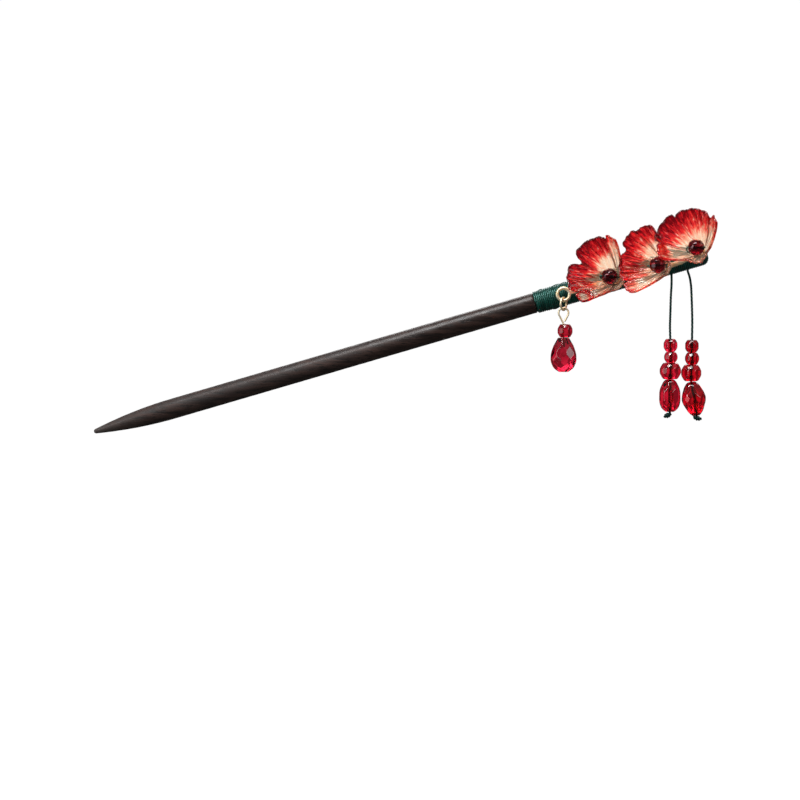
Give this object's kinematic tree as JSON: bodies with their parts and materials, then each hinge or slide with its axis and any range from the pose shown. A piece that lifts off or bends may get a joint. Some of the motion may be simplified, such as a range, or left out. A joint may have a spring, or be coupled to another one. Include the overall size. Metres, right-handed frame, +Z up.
{
  "type": "hair stick",
  "caption": "Slim wooden hair stick, head bound with thread, with cup-shaped glass flowers on a metal branch, a hanging teardrop and two hanging strings of faceted beads.",
  "frame": {"origin": "on the stick's axis at the grip, 66 mm from the tip", "axes": "+X towards the head, with the stick rising 16.3 degrees from it; +Z up, the way the drop and the strings hang from; -Y out of the flowers' side, towards the viewer"},
  "size_m": [0.18, 0.0238, 0.065],
  "materials": {
    "dark_wood": "smooth, oiled",
    "binding_thread": "wound silky thread",
    "green_thread": "twisted thread",
    "gold_brass": "pale gold plating",
    "petal_glass": "pressed, ribbed",
    "garnet_glass": "cut, polished",
    "drop_glass": "cut, polished",
    "bead_glass": "cut, polished"
  },
  "bodies": {
    "stick": {"wood_shaft": "dark_wood", "thread_binding": "binding_thread", "brass_branch": "gold_brass", "flower_1": "petal_glass", "flower_2": "petal_glass", "flower_3": "petal_glass", "flower_bead_1": "garnet_glass", "flower_bead_2": "garnet_glass", "flower_bead_3": "garnet_glass", "flower_tie_1": "green_thread", "flower_tie_2": "green_thread", "flower_tie_3": "green_thread", "left_thread": "green_thread", "left_bead_1": "bead_glass", "left_bead_2": "bead_glass", "left_bead_3": "bead_glass", "left_bead_4": "bead_glass", "right_thread": "green_thread", "right_bead_1": "bead_glass", "right_bead_2": "bead_glass", "right_bead_3": "bead_glass", "right_bead_4": "bead_glass"},
    "ring": {"jump_ring": "gold_brass"},
    "drop": {"drop_pin": "gold_brass", "drop_round_bead": "drop_glass", "drop_stone": "drop_glass"}
  },
  "joints": [
    {"name": "ring_swing", "type": "hinge", "parent": "stick", "child": "ring", "pos_m": [0.07256, -0.005, 0.01944], "axis": [1, 0, 0], "range_deg": [-50, 15]},
    {"name": "drop_swing", "type": "hinge", "parent": "ring", "child": "drop", "pos_m": [0.07256, -0.005, 0.01667], "axis": [0.4695, 0.8829, 0], "range_deg": [-45, 45]}
  ]
}
